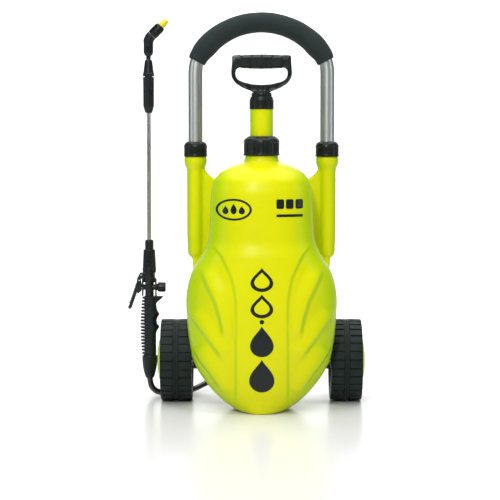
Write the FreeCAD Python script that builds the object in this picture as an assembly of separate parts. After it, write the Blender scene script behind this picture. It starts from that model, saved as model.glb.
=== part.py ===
import FreeCAD
import Part
import math
import os

# Wheeled pressure sprayer: tank on two wheels, telescopic bow handle, lift pump and
# a separate spray lance on a hose. Millimetres, +Z up, +Y to the rear (wheel side).
# The origin is on the floor below the pump axis.

# ---- driving dimensions ----
WALL = 3.5                 # tank wall
BELLY_PLANE = -25.0        # the plane of the tank's greatest width
NECK_TOP = 594.0
NECK_R = 34.0
NECK_BORE = 28.5

COLUMN_X = 151.0           # handle columns and bow legs
COLUMN_Y = 70.0
COLUMN_R = 20.0
COLUMN_FOOT = 350.0
COLUMN_TOP = 567.0
TUBE_R = 16.0              # bow tube
TUBE_WALL = 1.5
LEG_FOOT = 540.0
BOW_R = 179.3              # radius of the bow's long top arc
BOW_HALF = 40.0            # degrees each side of the middle
CORNER_R = 100.0           # radius of the bow's corners
BOW_TOP = 875.6            # centre line at the middle
FOAM_R = 21.2
FOAM_CORNER = 27.0         # degrees of each corner arc that the foam covers
SLIDE_GAP = 0.3            # clear distance between pieces that move past each other
SEAM = 0.2                 # between a web and the curved dome
RUNNING_GAP = 0.06         # radial clearance of shafts in bushes

BARREL_R = 26.0            # pump barrel
BARREL_BORE = 23.0
BARREL_FOOT = 60.0
BARREL_TOP = 698.0
ROD_R = 6.0

AXLE_Y = 95.0
AXLE_Z = 95.0
AXLE_R = 6.0
WHEEL_R = 95.0
WHEEL_X = 196.0            # middle of each tread
TREAD_HALF = 36.0

LANCE_X = -263.0
LANCE_Y = 150.0
LANCE_TUBE_R = 5.0
INNER_TUBE_R = 4.0
NOZZLE_BEND_Z = 840.0      # where the lance turns up to its 45 degree nozzle

HOSE_R = 7.0
COIL_X = 0.0               # centre and mid-turn radius of the coiled hose
COIL_Y = 245.0
COIL_R = 84.0
COIL_LOW = 8.6             # centre height of the turns on the floor
COIL_HIGH = 21.0           # centre height of the turn that lies on them
COIL_LEAVE = 134.8         # degrees, where the upper turn leaves the coil

X_AXIS = FreeCAD.Vector(1, 0, 0)
Y_AXIS = FreeCAD.Vector(0, 1, 0)
Z_AXIS = FreeCAD.Vector(0, 0, 1)


# ---- helpers ----
def vec(x, y, z):
    return FreeCAD.Vector(x, y, z)


def save(node, shape):
    """Write one node's STEP file and report its volume."""
    if not shape.isValid():
        print("INVALID", node)
    shape.exportStep("parts/%s.step" % node)
    print("%-18s solids %2d  volume %9.1f cm3" % (node, len(shape.Solids), shape.Volume / 1000.0))


def rod(radius, start, end):
    """A solid cylinder from one point to another."""
    way = end - start
    return Part.makeCylinder(radius, way.Length, start, way)


def cone(radius_a, radius_b, start, end):
    way = end - start
    return Part.makeCone(radius_a, radius_b, way.Length, start, way)


def ring(outer, inner, start, end):
    """A tube with two flat ends."""
    return rod(outer, start, end).cut(rod(inner, start, end))


def box(low, high):
    size = high - low
    return Part.makeBox(size.x, size.y, size.z, low)


def turned(outline, base, axis):
    """A solid of revolution. The outline is a closed list of (radius, height)."""
    points = [vec(r, 0, h) for r, h in outline]
    face = Part.Face(Part.makePolygon(points + [points[0]]))
    solid = face.revolve(vec(0, 0, 0), Z_AXIS, 360)
    turn = FreeCAD.Rotation(Z_AXIS, axis)
    solid.Placement = FreeCAD.Placement(base, turn)
    return solid


def plate(outline, middle_y, thickness):
    """An (x, z) outline given thickness along Y, centred on middle_y."""
    points = [vec(x, middle_y - thickness / 2.0, z) for x, z in outline]
    face = Part.Face(Part.makePolygon(points + [points[0]]))
    return face.extrude(vec(0, thickness, 0))


def mirrored(shape):
    """The same piece on the other side of the YZ plane."""
    return shape.mirror(vec(0, 0, 0), X_AXIS)


def oval(half_width, front, rear, height, power, grow):
    """A closed smooth section: widest at BELLY_PLANE, with its own front and rear reach."""
    middle = BELLY_PLANE if half_width > 60 else (front + rear) / 2.0
    points = []
    steps = 24
    for step in range(steps):
        angle = 2 * math.pi * (step + 0.5) / steps
        c = math.cos(angle)
        s = math.sin(angle)
        reach = (rear - middle) if s > 0 else (middle - front)
        x = (half_width + grow) * math.copysign(abs(c) ** (2 / power), c)
        y = middle + (reach + grow) * math.copysign(abs(s) ** (2 / power), s)
        points.append(vec(x, y, height))
    curve = Part.BSplineCurve()
    curve.interpolate(Points=points, PeriodicFlag=True)
    return Part.Wire(curve.toShape())


# ---- tank ----
# height, half width, front y, rear y
TANK_SECTIONS = [
    (0.0, 50.0, -114.0, 28.0),
    (10.0, 73.0, -116.5, 40.0),
    (32.0, 100.0, -118.5, 51.0),
    (62.0, 126.0, -120.5, 57.0),
    (99.0, 149.0, -123.0, 65.0),
    (150.0, 162.0, -125.0, 92.0),
    (205.0, 168.0, -125.0, 111.0),
    (250.0, 170.0, -125.0, 115.0),
    (285.0, 165.0, -124.0, 113.0),
    (317.0, 154.0, -121.0, 110.0),
    (345.0, 136.0, -118.0, 107.0),
    (372.0, 123.0, -115.0, 105.0),
    (415.0, 116.5, -112.0, 102.0),
    (462.0, 114.6, -109.0, 98.0),
    (500.0, 111.0, -105.0, 91.0),
    (524.0, 101.0, -96.0, 81.0),
    (541.0, 82.0, -76.0, 66.0),
    (551.0, 58.0, -54.0, 50.0),
    (557.0, 40.0, -40.0, 40.0),
]


def tank_loft(grow):
    """The tank's body as one loft, or its inside when grow is minus the wall."""
    wires = []
    top = TANK_SECTIONS[-1][0]
    for height, half_width, front, rear in TANK_SECTIONS:
        level = height - grow * (1 - 2 * height / top)
        if height > 500:
            level = height + grow
        power = 2.3 if 5 < height < 530 else 2.0
        wires.append(oval(half_width, front, rear, level, power, grow))
    return Part.makeLoft(wires, True, False)


def column_tube():
    """A column's round wall. It flares under the clamp nut and ends in a threaded neck."""
    bore = TUBE_R + SLIDE_GAP
    return turned([(bore, COLUMN_FOOT), (COLUMN_R, COLUMN_FOOT), (COLUMN_R, 540), (26, 551), (26, COLUMN_TOP),
                   (21, COLUMN_TOP), (21, COLUMN_TOP + 17), (bore, COLUMN_TOP + 17)],
                  vec(COLUMN_X, COLUMN_Y, 0), Z_AXIS)


def column_web():
    """The panel between a column and the dome, with the column's closed end and the foot below it."""
    panel = plate([(30, 500), (95, 513), (107.8, 517.5), (115, 521.5), (121.5, 527), (125, 531), (131, 541),
                   (COLUMN_X, 541), (COLUMN_X, 372), (163, 362), (161, 348), (158.5, 335), (157.5, 312),
                   (140, 285), (118, 262), (70, 300), (30, 335)], COLUMN_Y, 24)
    panel = panel.cut(rod(COLUMN_R, vec(COLUMN_X, COLUMN_Y, COLUMN_FOOT), vec(COLUMN_X, COLUMN_Y, 600)))
    end = turned([(0, COLUMN_FOOT - 6), (12, COLUMN_FOOT - 6), (COLUMN_R, COLUMN_FOOT), (0, COLUMN_FOOT)],
                 vec(COLUMN_X, COLUMN_Y, 0), Z_AXIS)
    return panel.fuse(end)


def build_tank():
    """The bottle with its neck, and the columns. Returns the bottle's closed outer shape."""
    outside = tank_loft(0.0)
    inside = tank_loft(-WALL)
    mouth = rod(NECK_BORE, vec(0, 0, 535), vec(0, 0, NECK_TOP))
    outlet_hole = rod(6.3, vec(OUTLET_X, 20, OUTLET_Z), vec(OUTLET_X, 90, OUTLET_Z))
    valve_hole = rod(5.3, vec(0, VALVE_Y, 480), vec(0, VALVE_Y, 560))
    shell = outside.cut(inside).cut(mouth).cut(outlet_hole).cut(valve_hole)
    neck = ring(NECK_R, NECK_BORE, vec(0, 0, TANK_SECTIONS[-1][0]), vec(0, 0, NECK_TOP))
    save("tank_shell", Part.makeCompound([shell, neck]))
    print("tank inside %.1f litres" % (inside.Volume / 1e6))
    tube = column_tube()
    save("handle_columns", Part.makeCompound([tube, mirrored(tube)]))
    web = column_web().cut(tank_loft(SEAM))
    save("column_webs", Part.makeCompound([web, mirrored(web)]))
    return outside


# ---- outlet and relief valve ----
OUTLET_X = 30.0
OUTLET_Z = 36.0
OUTLET_END = 84.0
VALVE_Y = 72.0


def build_outlet(outside):
    flange = ring(13, 4, vec(OUTLET_X, 40, OUTLET_Z), vec(OUTLET_X, 56, OUTLET_Z)).cut(outside)
    spigot = ring(6, 4, vec(OUTLET_X, 30, OUTLET_Z), vec(OUTLET_X, OUTLET_END - 2, OUTLET_Z))
    save("outlet_fitting", spigot.fuse(flange))
    nut = ring(12.5, 7.2, vec(OUTLET_X, 60, OUTLET_Z), vec(OUTLET_X, OUTLET_END, OUTLET_Z))
    nut = nut.fuse(ring(12.5, 6, vec(OUTLET_X, 57, OUTLET_Z), vec(OUTLET_X, 60, OUTLET_Z)))
    save("outlet_nut", nut)
    basket = ring(9, 6, vec(OUTLET_X, 6, OUTLET_Z), vec(OUTLET_X, 38, OUTLET_Z))
    basket = basket.fuse(rod(9, vec(OUTLET_X, 3, OUTLET_Z), vec(OUTLET_X, 6, OUTLET_Z)))
    save("outlet_strainer", basket)


def build_relief_valve(outside):
    seat = vec(0, VALVE_Y, 0)
    stem = turned([(2.5, 505), (5, 505), (5, 536), (9, 536), (9, 556), (6, 560), (2.5, 560)], seat, Z_AXIS)
    dome = outside.cut(rod(5.3, seat + vec(0, 0, 480), seat + vec(0, 0, 560)))
    foot = rod(9, seat + vec(0, 0, 526), seat + vec(0, 0, 537)).cut(rod(2.5, seat, seat + vec(0, 0, 560)))
    body = stem.fuse(foot).cut(dome)
    pocket = rod(6, seat + vec(0, 0, 540), seat + vec(0, 0, 556))
    save("relief_valve_body", body.cut(pocket))
    pin = rod(2.2, seat + vec(0, 0, 500), seat + vec(0, 0, 566))
    pin = pin.fuse(rod(5, seat + vec(0, 0, 541), seat + vec(0, 0, 542.5)))
    pin = pin.fuse(ring(6, 3.4, seat + vec(0, -1, 571.4), seat + vec(0, 1, 571.4)))
    save("relief_valve_pin", pin)
    save("relief_spring", ring(4.2, 2.6, seat + vec(0, 0, 543), seat + vec(0, 0, 555.5)))


# ---- handle ----
def bow_path(start_leg, corner_sweep):
    """The bow's centre line: legs, corner arcs and the long top arc."""
    half = math.radians(BOW_HALF)
    top_z = BOW_TOP - BOW_R
    join = vec(BOW_R * math.sin(half), COLUMN_Y, top_z + BOW_R * math.cos(half))
    centre = vec(join.x - CORNER_R * math.sin(half), COLUMN_Y, join.z - CORNER_R * math.cos(half))

    def corner(angle):
        a = math.radians(angle)
        return centre + vec(CORNER_R * math.sin(a), 0, CORNER_R * math.cos(a))

    last = BOW_HALF + corner_sweep
    middle = BOW_HALF + corner_sweep / 2.0

    def flip(p):
        return vec(-p.x, p.y, p.z)

    edges = []
    if start_leg:
        edges.append(Part.makeLine(vec(-COLUMN_X, COLUMN_Y, LEG_FOOT), flip(corner(last))))
    edges.append(Part.Arc(flip(corner(last)), flip(corner(middle)), flip(join)).toShape())
    edges.append(Part.Arc(flip(join), vec(0, COLUMN_Y, BOW_TOP), join).toShape())
    edges.append(Part.Arc(join, corner(middle), corner(last)).toShape())
    if start_leg:
        edges.append(Part.makeLine(corner(last), vec(COLUMN_X, COLUMN_Y, LEG_FOOT)))
    return Part.Wire(edges)


def swept(path, radius):
    start = path.Edges[0].valueAt(path.Edges[0].FirstParameter)
    tangent = path.Edges[0].tangentAt(path.Edges[0].FirstParameter)
    circle = Part.Wire(Part.makeCircle(radius, start, tangent))
    return path.makePipeShell([circle], True, True)


def build_handle():
    whole = bow_path(True, 90 - BOW_HALF)
    save("handle_bow", swept(whole, TUBE_R).cut(swept(whole, TUBE_R - TUBE_WALL)))
    covered = bow_path(False, FOAM_CORNER)
    save("handle_foam", swept(covered, FOAM_R).cut(swept(covered, TUBE_R)))
    plug = rod(TUBE_R - TUBE_WALL, vec(COLUMN_X, COLUMN_Y, LEG_FOOT), vec(COLUMN_X, COLUMN_Y, LEG_FOOT + 20))
    plug = plug.fuse(rod(TUBE_R, vec(COLUMN_X, COLUMN_Y, LEG_FOOT - 4), vec(COLUMN_X, COLUMN_Y, LEG_FOOT)))
    save("handle_end_plugs", Part.makeCompound([plug, mirrored(plug)]))


def build_clamps():
    bore = TUBE_R + SLIDE_GAP
    seat = vec(COLUMN_X, COLUMN_Y, 0)
    nut = turned([(21 + SLIDE_GAP, 567.5), (27, 567.5), (27, 591), (25.5, 596), (22, 600), (18, 602),
                  (bore, 602), (bore, 596), (21 + SLIDE_GAP, 596)], seat, Z_AXIS)
    save("left_clamp_nut", mirrored(nut))
    save("right_clamp_nut", nut)
    collet = turned([(bore, 584.2), (20.8, 584.2), (20.8, 587), (18.6, 595.5), (bore, 595.5)], seat, Z_AXIS)
    collet = collet.cut(box(vec(COLUMN_X, COLUMN_Y - 1, 583), vec(COLUMN_X + 30, COLUMN_Y + 1, 597)))
    save("handle_collets", Part.makeCompound([collet, mirrored(collet)]))


# ---- pump ----
def build_pump():
    origin = vec(0, 0, 0)
    save("neck_gasket", ring(33, NECK_BORE, vec(0, 0, NECK_TOP), vec(0, 0, NECK_TOP + 2)))
    flange_low = NECK_TOP + 2
    barrel = turned([(BARREL_BORE, BARREL_FOOT + 20), (BARREL_R, BARREL_FOOT + 20), (BARREL_R, flange_low),
                     (33, flange_low), (33, flange_low + 6), (BARREL_R, flange_low + 6), (BARREL_R, 675),
                     (24.5, 675), (24.5, BARREL_TOP), (BARREL_BORE, BARREL_TOP)], origin, Z_AXIS)
    save("pump_barrel", barrel)
    nut = turned([(NECK_R + SLIDE_GAP, 571), (41, 571), (41, 603), (38, 609), (34, 612), (30, 615),
                  (BARREL_R + SLIDE_GAP, 615), (BARREL_R + SLIDE_GAP, flange_low + 6 + SLIDE_GAP),
                  (NECK_R + SLIDE_GAP, flange_low + 6 + SLIDE_GAP)], origin, Z_AXIS)
    save("neck_nut", nut)
    cap = turned([(24.5, 675), (27.5, 675), (27.5, 697), (25, 701), (24, 704), (ROD_R + RUNNING_GAP, 704),
                  (ROD_R + RUNNING_GAP, BARREL_TOP), (24.5, BARREL_TOP)], origin, Z_AXIS)
    save("pump_head_cap", cap)
    cage = turned([(0, BARREL_FOOT), (BARREL_R, BARREL_FOOT), (BARREL_R, BARREL_FOOT + 20),
                   (BARREL_BORE, BARREL_FOOT + 20), (BARREL_BORE, BARREL_FOOT + 4), (0, BARREL_FOOT + 4)],
                  origin, Z_AXIS)
    for step in range(6):
        angle = math.radians(60 * step)
        hole = vec(13 * math.cos(angle), 13 * math.sin(angle), BARREL_FOOT - 1)
        cage = cage.cut(rod(3, hole, hole + vec(0, 0, 6)))
    save("foot_cage", cage)
    flap = turned([(0, BARREL_FOOT + 4), (18, BARREL_FOOT + 4), (17, BARREL_FOOT + 6), (0, BARREL_FOOT + 8)],
                  origin, Z_AXIS)
    save("foot_valve", flap)


PISTON_LOW = 112.0


def build_plunger():
    origin = vec(0, 0, 0)
    save("pump_rod", rod(ROD_R, vec(0, 0, PISTON_LOW), vec(0, 0, 720)))
    piston = turned([(ROD_R, PISTON_LOW), (22.6, PISTON_LOW), (22.6, PISTON_LOW + 7), (19.5, PISTON_LOW + 7),
                     (19.5, PISTON_LOW + 13), (22.6, PISTON_LOW + 13), (22.6, PISTON_LOW + 20),
                     (ROD_R, PISTON_LOW + 20)], origin, Z_AXIS)
    save("piston", piston)
    seal = turned([(19.5, PISTON_LOW + 7), (22.7, PISTON_LOW + 7), (BARREL_BORE - RUNNING_GAP, PISTON_LOW + 10),
                   (22.7, PISTON_LOW + 13), (19.5, PISTON_LOW + 13)], origin, Z_AXIS)
    save("piston_seal", seal)
    save("handle_ferrule", ring(23, ROD_R, vec(0, 0, 704.3), vec(0, 0, 713)))
    outer = [(-66, 797), (66, 797), (66.5, 778), (68.5, 755), (66, 744), (58, 733), (44, 724),
             (24, 716), (19, 713), (-19, 713), (-24, 716), (-44, 724), (-58, 733), (-66, 744),
             (-68.5, 755), (-66.5, 778)]
    inner = [(-54, 768), (54, 768), (58, 764), (58.5, 752), (54, 742), (42, 736), (22, 731), (0, 729.5),
             (-22, 731), (-42, 736), (-54, 742), (-58.5, 752), (-58, 764)]
    loop = plate(outer, 0, 24).cut(plate(inner, 0, 40))
    bar = rod(15.6, vec(-58, 0, 781.6), vec(58, 0, 781.6))
    save("pump_handle", loop.fuse(bar).cut(rod(ROD_R, vec(0, 0, 700), vec(0, 0, 720))))


# ---- wheels ----
def build_axle(outside):
    def on_axle(x):
        return vec(x, AXLE_Y, AXLE_Z)

    save("axle", rod(AXLE_R, on_axle(-228), on_axle(228)))
    beam = rod(16, on_axle(-157), on_axle(157))
    for side in (-1, 1):
        beam = beam.fuse(rod(22, on_axle(side * 122), on_axle(side * 157)))
        beam = beam.fuse(box(vec(side * 50 - 18, 50, 82), vec(side * 50 + 18, AXLE_Y, 108)))
    beam = beam.cut(outside).cut(rod(AXLE_R, on_axle(-160), on_axle(160)))
    fasteners = []
    for side in (-1, 1):
        for step in (-1, 1):
            head = vec(side * 50 + step * 12, AXLE_Y + 10, AXLE_Z + 9.5)
            shank = rod(2, head - vec(0, 26, 0), head)
            fasteners.append(shank.fuse(rod(3.5, head, head + vec(0, 3, 0))))
            beam = beam.cut(shank).cut(rod(3.5, head, head + vec(0, 20, 0)))
        fasteners.append(ring(11, AXLE_R, on_axle(side * 221), on_axle(side * 225)))
        fasteners.append(ring(14, AXLE_R, on_axle(side * 157), on_axle(side * 161)))
    save("axle_carrier", beam)
    save("axle_fasteners", Part.makeCompound(fasteners))


def build_wheel(side, name):
    """One wheel. Outline heights run outboard from the middle of the tread."""
    base = vec(side * WHEEL_X, AXLE_Y, AXLE_Z)
    outboard = vec(side, 0, 0)
    edge = TREAD_HALF
    tyre = [(66, -edge), (91.8, -edge), (93.6, -edge + 1.8), (94.7, -15), (WHEEL_R, 0), (94.7, 15),
            (93.6, edge - 1.8), (91.8, edge), (66, edge)]
    save(name + "_tyre", turned(tyre, base, outboard))
    rim = [(10, -34), (20, -34), (20, -6), (58, -6), (58, -34), (66, -34), (66, 27), (58, 27),
           (58, 6), (20, 6), (20, 24), (10, 24)]
    save(name + "_rim", turned(rim, base, outboard))
    bush = [(AXLE_R + RUNNING_GAP, -34), (10, -34), (10, 24), (AXLE_R + RUNNING_GAP, 24)]
    save(name + "_bush", turned(bush, base, outboard))
    cap = [(0, 46), (22, 45), (44, 41.5), (58, 36), (65.7, 30), (65.7, 27), (58, 27), (56, 33.4),
           (44, 38.9), (22, 42.4), (0, 43.4)]
    save(name + "_hubcap", turned(cap, base, outboard))


# ---- lance ----
GRIP_LOW = 98.0
GRIP_HIGH = 238.0
GRIP_HALF_DEPTH = 13.5
FIN_COUNT = 17
FIN_PITCH = 8.0
PIN_Z = 259.0              # height of the valve pin
PIVOT_X = -19.0            # trigger pivot, from the lance's axis
PIVOT_Z = 288.0


def lance_point(x, z):
    return vec(LANCE_X + x, LANCE_Y, z)


def lance_turned(outline):
    return turned(outline, vec(LANCE_X, LANCE_Y, 0), Z_AXIS)


def lance_plate(outline, thickness):
    return plate([(LANCE_X + x, z) for x, z in outline], LANCE_Y, thickness)


def grip_core():
    """An oval grip: height, left and right reach from the lance's axis."""
    wires = []
    for height, left, right in [(98, -15, 18), (121, -12.5, 15), (150, -13, 15), (164, -13, 23),
                                (179, -13, 17.5), (195, -13, 23.5), (215, -13, 17), (238, -13, 17)]:
        middle = vec(LANCE_X + (left + right) / 2.0, LANCE_Y, height)
        half_x = (right - left) / 2.0
        points = []
        for step in range(16):
            angle = math.pi * step / 8.0
            points.append(middle + vec(half_x * math.cos(angle), GRIP_HALF_DEPTH * math.sin(angle), 0))
        curve = Part.BSplineCurve()
        curve.interpolate(Points=points, PeriodicFlag=True)
        wires.append(Part.Wire(curve.toShape()))
    return Part.makeLoft(wires, True, True)


def build_grip():
    grip = grip_core()
    for step in range(FIN_COUNT):
        low = GRIP_LOW + 3.5 + FIN_PITCH * step
        fin = Part.Ellipse(vec(LANCE_X - 4, LANCE_Y, low), 17, 13)
        face = Part.Face(Part.Wire(fin.toShape()))
        grip = grip.fuse(face.extrude(vec(0, 0, 3.3)))
    hook = lance_plate([(8, 214), (18, 222), (29, 233), (31, GRIP_HIGH), (8, GRIP_HIGH)], 14)
    bore = rod(9.5, lance_point(0, GRIP_LOW - 1), lance_point(0, GRIP_HIGH - 6))
    outlet = rod(3.2, lance_point(0, GRIP_HIGH - 8), lance_point(0, GRIP_HIGH + 10))
    save("lance_grip", grip.fuse(hook).cut(bore).cut(outlet))
    strainer = ring(7, 5.4, lance_point(0, 120), lance_point(0, 215))
    strainer = strainer.fuse(rod(7, lance_point(0, 215), lance_point(0, 218)))
    strainer = strainer.fuse(ring(9.2, 5.4, lance_point(0, 116), lance_point(0, 120)))
    save("grip_strainer", strainer)
    nut = [(HOSE_R + 0.4, 44), (9.5, 44), (10.5, 52), (13.5, 68), (16.5, 80), (17.5, 92), (16, GRIP_LOW),
           (HOSE_R + 0.4, GRIP_LOW)]
    save("tail_nut", lance_turned(nut))


def build_valve():
    body = lance_turned([(0, GRIP_HIGH), (7.5, GRIP_HIGH), (7.5, 270), (13.5, 276), (13.5, 293),
                         (16, 294), (16, 298), (0, 298)])
    body = body.fuse(rod(6.5, lance_point(-13, PIN_Z), lance_point(17, PIN_Z)))
    for side in (-1, 1):
        body = body.fuse(box(lance_point(side * 15.5 - 1.5, GRIP_HIGH) + vec(0, -4, 0),
                             lance_point(side * 15.5 + 1.5, 278) + vec(0, 4, 0)))
        body = body.fuse(box(lance_point(0, PIVOT_Z - 7) + vec(-23, side * 9.5 - 1.5, 0),
                             lance_point(0, PIVOT_Z + 5) + vec(0, side * 9.5 + 1.5, 0)))
    body = body.fuse(box(lance_point(-15.5, PIN_Z - 6.5) + vec(0, -4, 0),
                         lance_point(15.5, PIN_Z + 6.5) + vec(0, 4, 0)))
    water_way = rod(3.2, lance_point(0, GRIP_HIGH - 1), lance_point(0, 299))
    pin_bore = rod(2.5 + SLIDE_GAP, lance_point(-20, PIN_Z), lance_point(20, PIN_Z))
    pivot_bore = rod(2, lance_point(PIVOT_X, PIVOT_Z) - vec(0, 15, 0), lance_point(PIVOT_X, PIVOT_Z) + vec(0, 15, 0))
    save("valve_body", body.cut(water_way).cut(pin_bore).cut(pivot_bore))
    save("trigger_pin", rod(2, lance_point(PIVOT_X, PIVOT_Z) - vec(0, 11.5, 0),
                            lance_point(PIVOT_X, PIVOT_Z) + vec(0, 11.5, 0)))
    pin = rod(2.5, lance_point(-23.6, PIN_Z), lance_point(22, PIN_Z))
    save("valve_pin", pin.fuse(rod(5, lance_point(20, PIN_Z), lance_point(22, PIN_Z))))
    save("valve_spring", ring(5, 3.4, lance_point(22.3, PIN_Z), lance_point(35, PIN_Z)))
    cap = ring(11.5, 7, lance_point(23, PIN_Z), lance_point(35.2, PIN_Z))
    cap = cap.fuse(rod(11.5, lance_point(35.2, PIN_Z), lance_point(38.5, PIN_Z)))
    cap = cap.fuse(ring(11.5, 7, lance_point(19.5, PIN_Z), lance_point(23, PIN_Z)).common(
        cone(8, 12, lance_point(19.4, PIN_Z), lance_point(23.1, PIN_Z))))
    cap = cap.fuse(ring(8, 7, lance_point(17.3, PIN_Z), lance_point(19.6, PIN_Z)))
    save("valve_cap", cap)


def build_trigger():
    outer = [(-19, 293), (-24, 291), (-26, 282), (-29, 268), (-35, 250), (-43, 230), (-50, 213),
             (-48, 208), (-43, 208), (-41, 212), (-37, 224), (-29.5, 246), (-25, 262), (-22.6, 276),
             (-15, 281), (-14.2, 288), (-15, 292)]
    lever = lance_plate(outer, 14)
    pivot = lance_point(PIVOT_X, PIVOT_Z)
    for step in range(3):
        hole = lance_point(-27.5 - 5 * step, 258 - 13 * step)
        lever = lever.cut(rod(1.8, hole - vec(0, 10, 0), hole + vec(0, 10, 0)))
    lever = lever.cut(rod(2 + RUNNING_GAP, pivot - vec(0, 10, 0), pivot + vec(0, 10, 0)))
    save("trigger", lever)


def build_lance_tubes():
    save("cone_sleeve", lance_turned([(LANCE_TUBE_R, 298.3), (16, 298.3), (15.5, 304), (12.5, 348), (LANCE_TUBE_R, 348)]))
    save("tube_collar", lance_turned([(LANCE_TUBE_R, 348), (9.2, 348), (9.2, 366), (8, 371), (LANCE_TUBE_R, 371)]))
    save("outer_tube", ring(LANCE_TUBE_R, INNER_TUBE_R + SLIDE_GAP, lance_point(0, 300), lance_point(0, 749)))
    sleeve = [(LANCE_TUBE_R, 668), (7.5, 668), (12.2, 684), (12.2, 751.5), (9, 751.5), (9, 764), (6.2, 768),
              (INNER_TUBE_R + SLIDE_GAP, 768), (INNER_TUBE_R + SLIDE_GAP, 749.2), (LANCE_TUBE_R, 749.2)]
    save("clamp_sleeve", lance_turned(sleeve))
    nut = [(9 + SLIDE_GAP, 753.3), (13.5, 753.3), (13.5, 760), (12.2, 761), (9.6, 788), (8.4, 791.5),
           (INNER_TUBE_R + SLIDE_GAP, 791.5), (INNER_TUBE_R + SLIDE_GAP, 769), (9 + SLIDE_GAP, 769)]
    save("lance_clamp_nut", lance_turned(nut))
    save("inner_tube", ring(INNER_TUBE_R, 3, lance_point(0, 400), lance_point(0, 812)))


def nozzle_point(along):
    """A point on the nozzle's axis, which leaves the lance at 45 degrees."""
    slope = along * math.sqrt(0.5)
    return lance_point(slope, NOZZLE_BEND_Z + slope)


def build_nozzle():
    axis = vec(1, 0, 1)
    bend = nozzle_point(0)
    elbow = lance_turned([(0, 792), (6.5, 792), (12.5, 800), (12.5, NOZZLE_BEND_Z), (0, NOZZLE_BEND_Z)])
    elbow = elbow.fuse(Part.makeSphere(12.5, bend))
    elbow = elbow.fuse(rod(12.5, bend, nozzle_point(12)))
    elbow = elbow.cut(rod(INNER_TUBE_R, lance_point(0, 790), lance_point(0, 812)))
    elbow = elbow.cut(rod(3, lance_point(0, 812), bend)).cut(rod(3, bend, nozzle_point(14)))
    save("lance_elbow", elbow)
    nut = turned([(3.5, 12.2), (12.5, 12.2), (12.5, 38), (10.5, 42), (8.5 + SLIDE_GAP, 42),
                  (8.5 + SLIDE_GAP, 26), (3.5, 26)], bend, axis)
    save("nozzle_nut", nut)
    tip = turned([(2.6, 30), (8.2, 30), (8.2, 43), (4.5, 62), (1, 62), (1, 56), (2.6, 52)], bend, axis)
    save("nozzle_tip", tip)
    swirl = turned([(1.2, 26.3), (8, 26.3), (8, 29.7), (1.2, 29.7)], bend, axis)
    save("nozzle_swirl", swirl)


# ---- hose ----
# The hose's route, corner by corner. Its coil is centred on (COIL_X, COIL_Y).
LANCE_RUN = [
    (-263.0, 150.0, 46.0),
    (-262.2, 150.0, 32.0),
    (-256.0, 150.4, 17.5),
    (-242.0, 151.8, 8.2),
    (-219.0, 153.6, 7.2),
    (-187.0, 168.0, 7.2),
    (-160.0, 197.0, 8.6),
    (-136.0, 226.0, 17.0),
    (-112.0, 251.0, 24.6),
    (-86.0, 278.5, 25.4),
    (-59.2, 304.7, 21.0),
]
SUPPLY_RUN = [
    (30.0, 84.0, 36.0),
    (30.4, 105.0, 35.0),
    (34.0, 132.0, 26.0),
    (44.0, 162.0, 13.5),
    (62.0, 192.0, 8.6),
    (81.0, 219.0, 8.8),
    (91.0, 245.0, 8.6),
]


def tube_path(route):
    """Straight runs joined by tangent arcs, each as large as its two runs allow."""
    points = [vec(*p) for p in route]
    edges = []
    radii = []
    start = points[0]
    for before, corner, after in zip(points, points[1:], points[2:]):
        back = before - corner
        on = after - corner
        turn = math.pi - back.getAngle(on)
        reach = 0.45 * min(back.Length, on.Length)
        radius = reach / math.tan(turn / 2.0)
        back.normalize()
        on.normalize()
        enter = corner + back * reach
        leave = corner + on * reach
        inward = (back + on).normalize()
        depth = radius / math.cos(turn / 2.0) - radius
        edges.append(Part.LineSegment(start, enter).toShape())
        edges.append(Part.Arc(enter, corner + inward * depth, leave).toShape())
        radii.append(radius)
        start = leave
    edges.append(Part.LineSegment(start, points[-1]).toShape())
    return Part.Wire(edges), radii


def build_hose_run(node, route):
    path, radii = tube_path(route)
    tube = swept(path, HOSE_R)
    ideal = math.pi * HOSE_R ** 2 * path.Length
    print("%s length %.0f, volume ratio %.4f, radii %s"
          % (node, path.Length, tube.Volume / ideal, " ".join("%.0f" % r for r in radii)))
    save(node, tube)


def build_coil():
    """Two turns side by side on the floor and part of a third that lies on them."""
    inner = COIL_R - 2 * HOSE_R
    outer = COIL_R + 2 * HOSE_R
    low = COIL_LOW - HOSE_R
    high = COIL_LOW + HOSE_R
    bevel = 3.0
    base = vec(COIL_X, COIL_Y, 0)
    floor_turns = turned([(inner + bevel, low), (outer - bevel, low), (outer, low + bevel), (outer, high - bevel),
                          (outer - bevel, high), (inner + bevel, high), (inner, high - bevel),
                          (inner, low + bevel)], base, Z_AXIS)
    upper_turn = Part.makeTorus(COIL_R, HOSE_R, vec(0, 0, 0), Z_AXIS, 0, 360, COIL_LEAVE + 25)
    upper_turn.Placement = FreeCAD.Placement(base + vec(0, 0, COIL_HIGH), FreeCAD.Rotation(Z_AXIS, -25))
    save("hose_coil", floor_turns.fuse(upper_turn))
    strap = 1.0
    reach = 6.0
    outside = box(vec(COIL_X - reach, COIL_Y + inner - 0.4 - strap, low - strap),
                  vec(COIL_X + reach, COIL_Y + outer + strap, COIL_HIGH + HOSE_R + strap))
    inside = box(vec(COIL_X - reach, COIL_Y + inner - 0.4, low),
                 vec(COIL_X + reach, COIL_Y + outer + 0.02, COIL_HIGH + HOSE_R))
    save("hose_tie", outside.cut(inside))


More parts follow.
